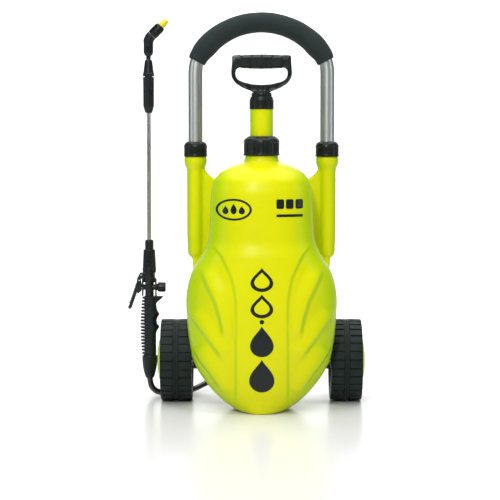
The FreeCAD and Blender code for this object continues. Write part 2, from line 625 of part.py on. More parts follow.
def main():
    os.makedirs("parts", exist_ok=True)
    outside = build_tank()
    build_outlet(outside)
    build_relief_valve(outside)
    build_handle()
    build_clamps()
    build_pump()
    build_plunger()
    build_axle(outside)
    build_wheel(-1, "left")
    build_wheel(1, "right")
    build_grip()
    build_valve()
    build_trigger()
    build_lance_tubes()
    build_nozzle()
    build_hose_run("hose_lance_run", LANCE_RUN)
    build_hose_run("hose_supply_run", SUPPLY_RUN)
    build_coil()


main()
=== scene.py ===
import bpy
import bmesh
import math
import numpy as np
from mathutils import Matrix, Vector
from mathutils.bvhtree import BVHTree


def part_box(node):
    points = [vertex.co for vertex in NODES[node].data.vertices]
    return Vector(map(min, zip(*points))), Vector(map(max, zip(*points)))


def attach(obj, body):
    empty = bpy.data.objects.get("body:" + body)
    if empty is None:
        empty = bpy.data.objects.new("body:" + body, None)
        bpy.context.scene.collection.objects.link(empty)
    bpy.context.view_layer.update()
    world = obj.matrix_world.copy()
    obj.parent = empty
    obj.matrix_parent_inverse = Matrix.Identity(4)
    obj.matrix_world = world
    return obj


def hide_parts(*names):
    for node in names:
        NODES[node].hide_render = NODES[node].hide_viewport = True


# The looks of a wheeled pressure sprayer. Shapes are written in millimetres in the
# frame's own axes and scaled to metres when a mesh is made.
MM = 0.001
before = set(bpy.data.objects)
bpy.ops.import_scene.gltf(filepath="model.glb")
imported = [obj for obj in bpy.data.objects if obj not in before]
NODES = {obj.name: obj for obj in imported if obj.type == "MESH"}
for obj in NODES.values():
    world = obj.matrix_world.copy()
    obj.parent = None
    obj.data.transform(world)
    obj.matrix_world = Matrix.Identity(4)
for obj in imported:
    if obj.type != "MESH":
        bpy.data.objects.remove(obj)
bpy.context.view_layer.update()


def node_box(node):
    """A CAD node's lowest and highest corners, in millimetres."""
    low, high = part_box(node)
    return low / MM, high / MM


def node_middle(node):
    low, high = node_box(node)
    return (low + high) / 2


BOW_HIGH = node_box("handle_bow")[1]
COLUMN_X = node_middle("right_clamp_nut").x
COLUMN_Y = node_middle("right_clamp_nut").y
LANCE_X = node_middle("outer_tube").x
LANCE_Y = node_middle("outer_tube").y
AXLE_Y = node_middle("axle").y
AXLE_Z = node_middle("axle").z
WHEEL_X = node_middle("right_tyre").x
COIL_X = node_middle("hose_coil").x
ROD_TOP = node_box("pump_rod")[1].z + 0.2


# ---- camera ----
LENS = 120.7
SENSOR = 36.0
CAMERA_PLACE = (-0.026, -3.785, 0.640)
LOOKS_DOWN = 4.266


def build_camera():
    """Stands in front, a little left of the tank, and looks slightly down."""
    data = bpy.data.cameras.new("camera")
    data.lens = LENS
    data.sensor_width = SENSOR
    data.clip_end = 50.0
    camera = bpy.data.objects.new("camera", data)
    camera.location = CAMERA_PLACE
    camera.rotation_euler = (math.radians(90 - LOOKS_DOWN), 0, 0)
    bpy.context.scene.collection.objects.link(camera)
    bpy.context.scene.camera = camera


build_camera()


# ---- materials ----
def material(name, colour, roughness=0.4, metallic=0.0, tint=None, tint_scale=6.0, grain=900.0,
             bump=0.05, rough_spread=0.12, coat=0.0, coat_roughness=0.1, specular=0.5, stretch=(1, 1, 1),
             subsurface=0.0, sheen=0.0, edge=(1.0, 1.0, 1.0)):
    """A moulded or metal finish: its colour drifts, its roughness varies, its surface has a fine grain."""
    made = bpy.data.materials.new(name)
    made.use_nodes = True
    tree = made.node_tree
    shader = tree.nodes["Principled BSDF"]
    shader.inputs["Metallic"].default_value = metallic
    shader.inputs["Coat Weight"].default_value = coat
    shader.inputs["Coat Roughness"].default_value = coat_roughness
    shader.inputs["Specular IOR Level"].default_value = specular
    shader.inputs["Subsurface Weight"].default_value = subsurface
    shader.inputs["Subsurface Scale"].default_value = 0.012
    shader.inputs["Sheen Weight"].default_value = sheen
    shader.inputs["Specular Tint"].default_value = (*edge, 1)
    place = tree.nodes.new("ShaderNodeTexCoord")
    spread = tree.nodes.new("ShaderNodeMapping")
    spread.inputs["Scale"].default_value = stretch
    tree.links.new(place.outputs["Object"], spread.inputs["Vector"])

    def noise(scale, detail):
        made_noise = tree.nodes.new("ShaderNodeTexNoise")
        made_noise.inputs["Scale"].default_value = scale
        made_noise.inputs["Detail"].default_value = detail
        tree.links.new(spread.outputs["Vector"], made_noise.inputs["Vector"])
        return made_noise

    drift = noise(tint_scale, 4.0)
    mix = tree.nodes.new("ShaderNodeMix")
    mix.data_type = "RGBA"
    other = tint if tint else tuple(c * 0.82 for c in colour)
    mix.inputs["A"].default_value = (*colour, 1)
    mix.inputs["B"].default_value = (*other, 1)
    tree.links.new(drift.outputs["Fac"], mix.inputs["Factor"])
    tree.links.new(mix.outputs["Result"], shader.inputs["Base Color"])
    scuff = noise(tint_scale * 9, 6.0)
    span = tree.nodes.new("ShaderNodeMapRange")
    span.inputs["From Min"].default_value = 0.3
    span.inputs["From Max"].default_value = 0.7
    span.inputs["To Min"].default_value = max(0.02, roughness - rough_spread / 2)
    span.inputs["To Max"].default_value = min(1.0, roughness + rough_spread / 2)
    tree.links.new(scuff.outputs["Fac"], span.inputs["Value"])
    tree.links.new(span.outputs["Result"], shader.inputs["Roughness"])
    fine = noise(grain, 3.0)
    relief = tree.nodes.new("ShaderNodeBump")
    relief.inputs["Strength"].default_value = bump
    relief.inputs["Distance"].default_value = 0.0006
    tree.links.new(fine.outputs["Fac"], relief.inputs["Height"])
    tree.links.new(relief.outputs["Normal"], shader.inputs["Normal"])
    return made


def tank_material(name, middle, side):
    """Lime yellow with painted shade: the colour turns darker and greener where the wall faces sideways,
    standing in for the shade on the sides.
    """
    made = material(name, middle, roughness=0.30, grain=420.0, bump=0.03, rough_spread=0.06,
                    specular=0.16, subsurface=0.08, tint_scale=5.0)
    tree = made.node_tree
    shader = tree.nodes["Principled BSDF"]
    shader.inputs["Subsurface Radius"].default_value = (1.0, 0.9, 0.1)
    place = [n for n in tree.nodes if n.type == "TEX_COORD"][0]
    # Painted shade: how far the normal points sideways mixes the colour towards the darker side colour, as if
    # the sides were in shade.
    split = tree.nodes.new("ShaderNodeSeparateXYZ")
    tree.links.new(place.outputs["Normal"], split.inputs["Vector"])
    size = tree.nodes.new("ShaderNodeMath")
    size.operation = "ABSOLUTE"
    tree.links.new(split.outputs["X"], size.inputs[0])
    side_shade_mask = tree.nodes.new("ShaderNodeMapRange")
    side_shade_mask.interpolation_type = "SMOOTHSTEP"
    side_shade_mask.inputs["From Min"].default_value = 0.15
    side_shade_mask.inputs["From Max"].default_value = 0.95
    tree.links.new(size.outputs["Value"], side_shade_mask.inputs["Value"])
    painted_side_shade = tree.nodes.new("ShaderNodeMix")
    painted_side_shade.data_type = "RGBA"
    painted_side_shade.inputs["B"].default_value = (*side, 1)
    old = shader.inputs["Base Color"].links[0].from_socket
    tree.links.new(side_shade_mask.outputs["Result"], painted_side_shade.inputs["Factor"])
    tree.links.new(old, painted_side_shade.inputs["A"])
    tree.links.new(painted_side_shade.outputs["Result"], shader.inputs["Base Color"])
    return made


# LIME is the moulded colour. The second colour is painted shade for sideways-facing walls, used on the tank,
# barrel and hubcaps.
LIME = (0.80, 0.81, 0.003)
LIME_PAINTED_SIDE_SHADE = (0.42, 0.62, 0.0)
SLOTS = {
    "tank": tank_material("tank_polyethylene", LIME, LIME_PAINTED_SIDE_SHADE),
    "barrel": tank_material("barrel_plastic", LIME, LIME_PAINTED_SIDE_SHADE),
    "black_plastic": material("black_plastic", (0.007, 0.011, 0.010), 0.30, tint=(0.010, 0.015, 0.014),
                              bump=0.12, grain=1500.0, specular=0.3),
    "lance_plastic": material("lance_plastic", (0.007, 0.011, 0.012), 0.30, tint=(0.009, 0.014, 0.016),
                              bump=0.10, grain=1700.0, specular=0.3),
    "aluminium": material("drawn_aluminium", (0.62, 0.66, 0.64), 0.38, 1.0, tint=(0.58, 0.62, 0.60),
                          grain=300.0, bump=0.0, stretch=(9, 9, 0.4), rough_spread=0.02,
                          edge=(0.02, 0.03, 0.025)),
    "lance_tube": material("lance_tube_metal", (0.60, 0.62, 0.63), 0.24, 1.0, grain=500.0, bump=0.04,
                           stretch=(8, 8, 0.4)),
    "steel": material("zinc_steel", (0.56, 0.57, 0.58), 0.32, 1.0, grain=700.0),
    "foam": material("closed_cell_foam", (0.018, 0.028, 0.027), 0.72, tint=(0.026, 0.038, 0.036),
                     grain=1300.0, bump=0.5, tint_scale=14.0, sheen=0.05, specular=0.12),
    "rubber": material("black_rubber", (0.014, 0.014, 0.014), 0.6, grain=900.0, bump=0.1),
    "hose": material("hose_skin", (0.008, 0.008, 0.010), 0.18, grain=260.0, bump=0.03, coat=0.4),
    "tyre": material("tyre_compound", (0.010, 0.017, 0.016), 0.5, tint=(0.015, 0.023, 0.022), grain=1100.0,
                     bump=0.25, tint_scale=10.0, specular=0.15),
    "wheel_core": material("wheel_core_plastic", (0.012, 0.018, 0.018), 0.45, grain=1200.0, bump=0.1,
                           specular=0.15),
    "bush": material("nylon_bush", (0.62, 0.61, 0.56), 0.45, grain=900.0),
    "hubcap": tank_material("hubcap_plastic", LIME, LIME_PAINTED_SIDE_SHADE),
    "nozzle": material("nozzle_plastic", (0.78, 0.66, 0.01), 0.35, tint=(0.74, 0.72, 0.01), grain=900.0),
}
for node in NODES.values():
    for place in node.material_slots:
        wanted = place.material.name.split(".")[0]
        if wanted in SLOTS:
            place.material = SLOTS[wanted]


# ---- mesh helpers ----
def dressed(name, mesh, body, slot, replaced=(), sharp=32.0):
    """Makes a piece of a mesh: smooth faces, creases where they meet steeply, its slot and its body."""
    work = bmesh.new()
    work.from_mesh(mesh)
    bmesh.ops.recalc_face_normals(work, faces=work.faces)
    limit = math.radians(sharp)
    for face in work.faces:
        face.smooth = True
    for edge in work.edges:
        edge.smooth = len(edge.link_faces) != 2 or edge.calc_face_angle(0) < limit
    work.to_mesh(mesh)
    work.free()
    mesh.materials.clear()
    piece = bpy.data.objects.new(name, mesh)
    bpy.context.scene.collection.objects.link(piece)
    mesh.materials.append(SLOTS[slot])
    if replaced:
        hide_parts(*replaced)
    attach(piece, body)
    return piece


def solid(points, faces):
    """A plain object from points in millimetres, with its normals outwards."""
    mesh = bpy.data.meshes.new("solid")
    mesh.from_pydata([tuple(c * MM for c in p) for p in points], [], faces)
    work = bmesh.new()
    work.from_mesh(mesh)
    bmesh.ops.recalc_face_normals(work, faces=work.faces)
    work.to_mesh(mesh)
    work.free()
    made = bpy.data.objects.new("solid", mesh)
    bpy.context.scene.collection.objects.link(made)
    return made


def modified(source, kind, **settings):
    """The same object with one modifier applied."""
    change = source.modifiers.new(kind, kind)
    for key, value in settings.items():
        setattr(change, key, value)
    graph = bpy.context.evaluated_depsgraph_get()
    mesh = bpy.data.meshes.new_from_object(source.evaluated_get(graph))
    source.modifiers.clear()
    source.data = mesh
    return source


def fused(first, *others):
    for other in others:
        modified(first, "BOOLEAN", operation="UNION", object=other, solver="MANIFOLD")
        bpy.data.objects.remove(other)
    return first


def cut(first, *others):
    for other in others:
        modified(first, "BOOLEAN", operation="DIFFERENCE", object=other, solver="MANIFOLD")
        bpy.data.objects.remove(other)
    return first


def bevelled(source, width, segments=3, angle=35.0):
    return modified(source, "BEVEL", width=width * MM, segments=segments, limit_method="ANGLE",
                    angle_limit=math.radians(angle), use_clamp_overlap=True)


def as_piece(name, source, body, slot, replaced=(), sharp=32.0):
    mesh = source.data
    bpy.data.objects.remove(source)
    return dressed(name, mesh, body, slot, replaced, sharp)


def softened(outline, radius):
    """The closed outline with each corner that turns by more than 12 degrees rounded off."""
    made = []
    count = len(outline)
    for i, (r, h) in enumerate(outline):
        here = Vector((r, h))
        before = Vector(outline[i - 1]) - here
        after = Vector(outline[(i + 1) % count]) - here
        turn = math.pi - before.angle(after, math.pi)
        reach = min(radius, 0.45 * before.length, 0.45 * after.length)
        if turn < math.radians(12) or reach < 0.02 or abs(r) < 0.01:
            made.append((r, h))
            continue
        start = here + before.normalized() * reach
        end = here + after.normalized() * reach
        for t in (0.0, 0.33, 0.67, 1.0):
            p = start * (1 - t) ** 2 + here * 2 * t * (1 - t) + end * t ** 2
            made.append((p.x, p.y))
    return made


def lathe(outline, base, axis=(0, 0, 1), steps=64, bevel=0.6, angles=None, wave=None):
    """A closed (radius, height) outline turned about an axis. wave(angle, r, h) may change a radius."""
    outline = softened(outline, bevel)
    turn = Vector((0, 0, 1)).rotation_difference(Vector(axis).normalized())
    base = Vector(base)
    if angles is None:
        angles = [2 * math.pi * k / steps for k in range(steps)]
    points = []
    rows = []
    for r, h in outline:
        if r < 0.005:
            rows.append([len(points)])
            points.append(base + turn @ Vector((0, 0, h)))
            continue
        row = []
        for a in angles:
            radius = wave(a, r, h) if wave else r
            row.append(len(points))
            points.append(base + turn @ Vector((radius * math.cos(a), radius * math.sin(a), h)))
        rows.append(row)
    faces = []
    count = len(angles)
    for low, high in zip(rows, rows[1:] + rows[:1]):
        for k in range(count):
            n = (k + 1) % count
            if len(low) > 1 and len(high) > 1:
                faces.append((low[k], low[n], high[n], high[k]))
            elif len(low) > 1:
                faces.append((low[k], low[n], high[0]))
            elif len(high) > 1:
                faces.append((low[0], high[n], high[k]))
    return solid(points, faces)


def turned(name, outline, base, body, slot, replaced=(), axis=(0, 0, 1), sharp=32.0, **more):
    return as_piece(name, lathe(outline, base, axis, **more), body, slot, replaced, sharp)


def skin(sections):
    """A closed solid through sections of equal point count."""
    count = len(sections[0])
    points = [p for section in sections for p in section]
    faces = []
    for i in range(len(sections) - 1):
        for k in range(count):
            n = (k + 1) % count
            faces.append((i * count + k, i * count + n, (i + 1) * count + n, (i + 1) * count + k))
    faces.append(tuple(range(count))[::-1])
    faces.append(tuple((len(sections) - 1) * count + k for k in range(count)))
    return solid(points, faces)


def swept(line, radii, side=(0, 1, 0), steps=48):
    """Round sections along a line that stays square to the side direction."""
    side = Vector(side)
    line = [Vector(p) for p in line]
    sections = []
    for i, here in enumerate(line):
        ahead = line[min(i + 1, len(line) - 1)] - line[max(i - 1, 0)]
        across = side.cross(ahead.normalized())
        sections.append([here + (across * math.cos(a) + side * math.sin(a)) * radii[i]
                         for a in (2 * math.pi * k / steps for k in range(steps))])
    return skin(sections)


def slab(outline, middle_y, thickness, round_off=0.0):
    """An (x, z) outline given thickness along Y."""
    if round_off:
        outline = softened(outline, round_off)
    return skin([[(x, middle_y + side * thickness / 2, z) for x, z in outline] for side in (-1, 1)])


def block(low, high):
    return slab([(low[0], low[2]), (high[0], low[2]), (high[0], high[2]), (low[0], high[2])],
                (low[1] + high[1]) / 2, high[1] - low[1])


def ribbed(count, depth, share=0.5, low=-1e9, high=1e9, least=0.0):
    """Angles and a wave for grooves that run along a turned piece between two heights."""
    marks = [0.0, 0.08, share - 0.08, share, share + 0.06, 0.94]
    angles = [2 * math.pi * (k + m) / count for k in range(count) for m in marks]

    def wave(angle, r, h):
        place = (angle * count / (2 * math.pi)) % 1.0
        groove = share + 0.03 < place < 0.97
        return r - depth if groove and low <= h <= high and r > least else r

    return {"angles": angles, "wave": wave}


def smoothstep(low, high, value):
    t = np.clip((value - low) / (high - low), 0.0, 1.0)
    return t * t * (3 - 2 * t)


# ---- hose ----
HOSE_R = 7.0
COIL_Y = 245.0
COIL_R = 84.0
COIL_LOW = 8.6
COIL_HIGH = 21.0
COIL_LEAVE = 134.8
LANCE_RUN = [
    (-263.0, 150.0, 46.0),
    (-262.2, 150.0, 32.0),
    (-256.0, 150.4, 17.5),
    (-242.0, 151.8, 8.2),
    (-219.0, 153.6, 7.2),
    (-187.0, 168.0, 7.2),
    (-160.0, 197.0, 8.6),
    (-136.0, 226.0, 17.0),
    (-112.0, 251.0, 24.6),
    (-86.0, 278.5, 25.4),
    (-59.2, 304.7, 21.0),
]
SUPPLY_RUN = [
    (30.0, 84.0, 36.0),
    (30.4, 105.0, 35.0),
    (34.0, 132.0, 26.0),
    (44.0, 162.0, 13.5),
    (62.0, 192.0, 8.6),
    (81.0, 219.0, 8.8),
    (91.0, 245.0, 8.6),
]


def coil_points():
    """From the upper turn inwards and down to the floor: the outer turn comes last."""
    points = []
    step = 15.0
    total = COIL_LEAVE + 720.0
    spread = 1 / (0.75 + 0.25 * math.cos(math.radians(step)))
    done = step
    while done < total - 1:
        angle = total - done
        inward = float(smoothstep(300.0, 360.0, angle))
        climb = float(smoothstep(630.0, 700.0, angle))
        radius = COIL_R + HOSE_R - 2 * HOSE_R * inward + HOSE_R * climb
        height = COIL_LOW + (COIL_HIGH - COIL_LOW) * climb
        a = math.radians(angle)
        reach = radius * spread
        points.append((COIL_X + reach * math.cos(a), COIL_Y + reach * math.sin(a), height))
        done += step
    return points


def build_hose():
    route = LANCE_RUN + coil_points() + SUPPLY_RUN[::-1]
    data = bpy.data.curves.new("hose", "CURVE")
    data.dimensions = "3D"
    data.resolution_u = 10
    data.bevel_depth = HOSE_R * MM
    data.bevel_resolution = 7
    data.use_fill_caps = True
    spline = data.splines.new("NURBS")
    spline.points.add(len(route) - 1)
    for point, (x, y, z) in zip(spline.points, route):
        point.co = (x * MM, y * MM, z * MM, 1)
    spline.order_u = 3
    spline.use_endpoint_u = True
    hose = bpy.data.objects.new("hose", data)
    bpy.context.scene.collection.objects.link(hose)
    data.materials.append(SLOTS["hose"])
    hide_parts("hose_lance_run", "hose_coil", "hose_supply_run")
    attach(hose, "root")


build_hose()


# ---- tank ----
WALL = 3.5
NECK_BORE = 28.5
COLUMN_BORE = 16.3
COLUMN_FOOT = 350
WEB_THICK = 24
VOXEL_SIZE = 2.3
SMOOTH_ROUNDS = 9
BELLY_PLANE = -25.0
# height, half width, front y, rear y
TANK_SECTIONS = np.array([
    (0.0, 50.0, -114.0, 28.0),
    (1.5, 57.0, -114.8, 32.0),
    (4.0, 62.5, -115.4, 35.0),
    (10.0, 73.0, -116.5, 40.0),
    (20.0, 87.0, -117.6, 46.0),
    (32.0, 100.0, -118.5, 51.0),
    (62.0, 126.0, -120.5, 57.0),
    (99.0, 149.0, -123.0, 65.0),
    (150.0, 162.0, -125.0, 92.0),
    (205.0, 168.0, -125.0, 111.0),
    (250.0, 170.0, -125.0, 115.0),
    (285.0, 165.0, -124.0, 113.0),
    (317.0, 154.0, -121.0, 110.0),
    (345.0, 136.0, -118.0, 107.0),
    (372.0, 123.0, -115.0, 105.0),
    (415.0, 116.5, -112.0, 102.0),
    (462.0, 114.6, -109.0, 98.0),
    (500.0, 111.0, -105.0, 91.0),
    (524.0, 101.0, -96.0, 81.0),
    (541.0, 82.0, -76.0, 66.0),
    (551.0, 58.0, -54.0, 50.0),
    (557.0, 40.0, -40.0, 40.0),
])


def section_at(heights):
    """Half width, front and rear at each height, on a smooth curve through the sections."""
    z = TANK_SECTIONS[:, 0]
    made = []
    for column in (1, 2, 3):
        v = TANK_SECTIONS[:, column]
        slope = np.gradient(v, z)
        i = np.clip(np.searchsorted(z, heights) - 1, 0, len(z) - 2)
        span = z[i + 1] - z[i]
        t = (heights - z[i]) / span
        made.append((2 * t ** 3 - 3 * t ** 2 + 1) * v[i] + (t ** 3 - 2 * t ** 2 + t) * span * slope[i]
                    + (3 * t ** 2 - 2 * t ** 3) * v[i + 1] + (t ** 3 - t ** 2) * span * slope[i + 1])
    return made


def tank_body(grow):
    """Points and faces of the tank's closed body, moved in or out by grow."""
    top = TANK_SECTIONS[-1, 0]
    heights = np.concatenate([np.linspace(0, 20, 15)[:-1], np.linspace(20, 500, 97)[:-1],
                              np.linspace(500, top, 30)])
    half, front, rear = section_at(heights)
    steps = 144
    angle = 2 * np.pi * (np.arange(steps) + 0.5) / steps
    c, s = np.cos(angle), np.sin(angle)
    points = []
    for k, height in enumerate(heights):
        power = 2.0 + 0.3 * float(smoothstep(0, 60, height) * (1 - smoothstep(515, top, height)))
        middle = BELLY_PLANE * min(1.0, max(0.0, (half[k] - 40) / 30))
        reach = np.where(s > 0, rear[k] - middle, middle - front[k]) + grow
        x = (half[k] + grow) * np.sign(c) * np.abs(c) ** (2 / power)
        y = middle + reach * np.sign(s) * np.abs(s) ** (2 / power)
        level = height - grow if height < 250 else height + grow
        level = max(level, -grow) if grow < 0 else height
        points += [(float(a), float(b), float(level)) for a, b in zip(x, y)]
    rows = len(heights)
    faces = [(r * steps + k, r * steps + (k + 1) % steps,
              (r + 1) * steps + (k + 1) % steps, (r + 1) * steps + k)
             for r in range(rows - 1) for k in range(steps)]
    faces.append(tuple(range(steps))[::-1])
    faces.append(tuple((rows - 1) * steps + k for k in range(steps)))
    return points, faces


def column(stations):
    """A round column through (x, y, z, radius) stations."""
    return swept([p[:3] for p in stations], [p[3] for p in stations])


def web_solid(side):
    """The panel between a handle column and the dome. Its top edge is hollow, its foot runs into the wall."""
    outline = [(30, 335), (70, 300), (118, 262), (140, 285), (157.5, 312), (158.5, 335), (161, 348),
               (163, 362), (151, 372), (151, 541), (131, 541), (125, 531), (121.5, 527), (115, 521.5),
               (107.8, 517.5), (95, 513), (30, 500)]
    return slab([(side * x, z) for x, z in outline], COLUMN_Y, WEB_THICK)


# Creases of the front relief as (x, z), from the outside and top, inwards and down.
BAND_EDGE = np.array([(57, 0), (57, 253), (61, 279), (67, 306), (79, 331), (90, 353), (108, 372)], float)
RIDGES = [
    np.array([(132, 326), (112, 282), (97, 252), (88, 222), (82, 195), (79, 160)], float),
    np.array([(160, 232), (145, 210), (128, 190), (108, 163), (90, 140), (74, 122)], float),
    np.array([(150, 150), (130, 120), (108, 92), (92, 70), (76, 48)], float),
]


def signed_distance(points, line):
    """Distance of (x, z) points to a polyline, positive on its lower, outer side, and the place along it."""
    best = np.full(len(points), 1e9)
    signed = np.zeros(len(points))
    along = np.zeros(len(points))
    lengths = np.linalg.norm(np.diff(line, axis=0), axis=1)
    whole = lengths.sum()
    passed = 0.0
    for a, b, length in zip(line, line[1:], lengths):
        way = (b - a) / length
        offset = points - a
        t = np.clip(offset @ way, 0, length)
        away = offset - t[:, None] * way
        distance = np.linalg.norm(away, axis=1)
        side = np.sign(way[0] * offset[:, 1] - way[1] * offset[:, 0])
        nearer = distance < best
        best = np.where(nearer, distance, best)
        signed = np.where(nearer, distance * side, signed)
        along = np.where(nearer, (passed + t) / whole, along)
        passed += length
    return signed, along


BAND_RISE = 4.2
FOLD_RISE = 6.5


def front_relief(x, y, z):
    """How far the front wall stands out: a raised middle band and three leaf-like folds on each side."""
    flat = np.stack([np.abs(x), z], axis=1)
    edge = np.interp(z, BAND_EDGE[:, 1], BAND_EDGE[:, 0])
    inside = edge - np.abs(x)
    low = smoothstep(14.0, 60.0, z) * (1 - smoothstep(345.0, 385.0, z))
    raised = BAND_RISE * smoothstep(-5.0, 5.0, inside) * low
    folds = np.zeros(len(x))
    for line in RIDGES:
        signed, along = signed_distance(flat, line)
        ends = smoothstep(0.0, 0.16, along) * (1 - smoothstep(0.80, 1.0, along))
        slope = np.where(signed < 0, smoothstep(-34.0, 0.0, signed), 1 - smoothstep(0.0, 13.0, signed))
        folds += FOLD_RISE * slope * ends
    front = 1 - smoothstep(-60.0, 10.0, y)
    return (raised + folds * smoothstep(0.0, 10.0, -inside)) * front


# height, radius: a rounded foot, the long tube, the flare and the spigot under the clamp nut
COLUMN_PROFILE = [(333, 0.5), (334, 7), (337, 12.5), (341, 16.5), (346, 18.4), (352, 18.8), (370, 19.2),
                  (385, 20), (470, 20), (535, 20), (541, 21), (548, 24.4), (554, 26), (567, 26),
                  (567.2, 21), (584, 21)]
NECK_PROFILE = [(540, 50), (548, 46), (556, 41), (563, 38.5), (571, 37), (571.5, 34), (594, 34)]


def build_tank():
    body = solid(*tank_body(0.0))
    parts = [body]
    parts.append(column([(0, 0, z, radius) for z, radius in NECK_PROFILE]))
    for side in (-1, 1):
        x = side * COLUMN_X
        parts.append(column([(x, COLUMN_Y, z, radius) for z, radius in COLUMN_PROFILE]))
        parts.append(web_solid(side))
    with bpy.context.temp_override(active_object=body, selected_editable_objects=parts,
                                   selected_objects=parts):
        bpy.ops.object.join()
    modified(body, "REMESH", mode="VOXEL", voxel_size=VOXEL_SIZE * MM, adaptivity=0.0)
    modified(body, "SMOOTH", factor=0.5, iterations=SMOOTH_ROUNDS)
    mesh = body.data
    count = len(mesh.vertices)
    place = np.zeros(count * 3)
    mesh.vertices.foreach_get("co", place)
    place = place.reshape(-1, 3) / MM
    normal = np.zeros(count * 3)
    mesh.vertices.foreach_get("normal", normal)
    normal = normal.reshape(-1, 3)
    place += normal * front_relief(*place.T)[:, None]
    place[:, 2] = np.maximum(place[:, 2], 0.0)
    mesh.vertices.foreach_set("co", (place * MM).ravel())
    mesh.update()
    cut(body, solid(*tank_body(-WALL)), column([(0, 0, 535, NECK_BORE), (0, 0, 610, NECK_BORE)]))
    for side in (-1, 1):
        x = side * COLUMN_X
        cut(body, column([(x, COLUMN_Y, COLUMN_FOOT, COLUMN_BORE), (x, COLUMN_Y, 600, COLUMN_BORE)]))
    return as_piece("tank", body, "root", "tank", ["tank_shell", "handle_columns", "column_webs"], 40.0)


tank = build_tank()


# ---- graphics on the tank ----
def drop(middle_x, low, high, half_width, steps=40):
    """A drop standing on its round end."""
    height = high - low
    points = []
    for k in range(steps):
        a = 2 * math.pi * k / steps
        rise = 0.5 - 0.5 * math.cos(a)
        points.append((middle_x + half_width * math.sin(a) * (1 - rise ** 2.2) * 1.12, low + height * rise))
    return points


def ellipse(middle_x, middle_z, half_x, half_z, steps=40):
    return [(middle_x + half_x * math.cos(2 * math.pi * k / steps),
             middle_z + half_z * math.sin(2 * math.pi * k / steps)) for k in range(steps)]


def pill(low_x, high_x, low_z, high_z, round_off):
    return softened([(low_x, low_z), (high_x, low_z), (high_x, high_z), (low_x, high_z)], round_off)


PRINT_LIFT = 0.3
PRINT_THICK = 0.8
PRINT_STEP = 4


def printed(name, outlines, wall):
    """A thin patch laid on the tank's front. Each entry is an outline, or a pair of them for a ring."""
    work = bmesh.new()
    for entry in outlines:
        loops = entry if isinstance(entry, tuple) else (entry,)
        rings = [[work.verts.new((x * MM, 0, z * MM)) for x, z in loop] for loop in loops]
        if len(rings) == 1:
            work.faces.new(rings[0])
            continue
        outer, inner = rings
        for k in range(len(outer)):
            n = (k + 1) % len(outer)
            work.faces.new((outer[k], outer[n], inner[n], inner[k]))
    for axis, low, high in (((1, 0, 0), -104, 104), ((0, 0, 1), 48, 484)):
        for place in range(low, high, PRINT_STEP):
            everything = work.verts[:] + work.edges[:] + work.faces[:]
            bmesh.ops.bisect_plane(work, geom=everything, plane_co=Vector(axis) * place * MM, plane_no=axis)
    for vert in work.verts:
        hit, normal, _, _ = wall.ray_cast(Vector((vert.co.x, -1, vert.co.z)), Vector((0, 1, 0)))
        vert.co = hit + normal * PRINT_LIFT * MM
    mesh = bpy.data.meshes.new(name)
    work.to_mesh(mesh)
    work.free()
    sheet = bpy.data.objects.new(name, mesh)
    bpy.context.scene.collection.objects.link(sheet)
    modified(sheet, "SOLIDIFY", thickness=PRINT_THICK * MM, offset=-1.0)
    if sheet.data.polygons[0].normal.y > 0:
        sheet.data.flip_normals()
    as_piece(name, sheet, "root", "black_plastic")


def build_graphics():
    work = bmesh.new()
    work.from_mesh(tank.data)
    wall = BVHTree.FromBMesh(work)
    work.free()
    tall = [drop(0, 52, 126, 29), drop(0, 131, 200, 27), ellipse(0, 208.5, 5, 5)]
    for low, high in ((217, 270), (275, 328)):
        middle = low + 0.44 * (high - low)
        outer = drop(0, low, high, 26)
        tall.append((outer, [(x * 0.68, middle + (z - middle) * 0.68) for x, z in outer]))
    printed("front_graphic", tall, wall)
    ring = (ellipse(-62, 454, 40, 24), ellipse(-62, 454, 35, 19.5))
    small = [drop(x, 444, 468 - abs(x + 62) * 0.3, 7) for x in (-80, -62, -44)]
    printed("left_graphic", [ring] + small, wall)
    level = [pill(32 + 21 * k, 49 + 21 * k, 456, 477, 4) for k in range(3)]
    printed("right_graphic", level + [pill(32, 91, 438, 444, 2.5)], wall)


build_graphics()


# ---- handle ----
BOW_R = 179.3
CORNER_R = 100.0
BOW_HALF = 40.0
FOAM_HALF = 74.0
FOAM_R = 21.2
TUBE_R = 16.0
ARC_Z = BOW_HIGH.z - TUBE_R - BOW_R


def bow_point(angle):
    """The bow's centre line at an angle from its top, in degrees."""
    bend = math.radians(max(-BOW_HALF, min(BOW_HALF, angle)))
    a = math.radians(angle)
    x = (BOW_R - CORNER_R) * math.sin(bend) + CORNER_R * math.sin(a)
    z = ARC_Z + (BOW_R - CORNER_R) * math.cos(bend) + CORNER_R * math.cos(a)
    if abs(angle) <= BOW_HALF:
        x = BOW_R * math.sin(a)
        z = ARC_Z + BOW_R * math.cos(a)
    return Vector((x, COLUMN_Y, z))


def build_foam():
    """A padded sleeve, fuller on the bow's inner side, with slightly drawn-in, tilted ends."""
    sections = []
    steps = 134
    for k in range(steps + 1):
        angle = FOAM_HALF * (2 * k / steps - 1)
        size = abs(angle)
        ending = float(smoothstep(50, FOAM_HALF, size))
        inner = 25.4 + 3.6 * min(1.0, size / 45) ** 2 * (1 - ending) - 5.0 * ending
        outer = FOAM_R + 0.12 * math.sin(angle * 0.31)
        lip = 1.4 * math.exp(-0.9 * (FOAM_HALF - size))
        radius = (inner + outer) / 2 - lip
        a = math.radians(angle)
        plane = math.radians(math.copysign(size - 11 * ending, angle))
        way = Vector((math.sin(a), 0, math.cos(a)))
        across = Vector((math.sin(plane), 0, math.cos(plane))) / math.cos(a - plane)
        middle = bow_point(angle) - way * (inner - outer) / 2
        turns = [2 * math.pi * m / 56 for m in range(56)]
        sections.append([middle + (across * math.cos(t) + Vector((0, math.sin(t), 0))) * radius
                         for t in turns])
    foam = skin(sections)
    longer = [bow_point(FOAM_HALF * 1.12 * (2 * k / steps - 1)) for k in range(steps + 1)]
    cut(foam, swept(longer, [TUBE_R] * len(longer)))
    as_piece("foam_grip", foam, "handle", "foam", ["handle_foam"])


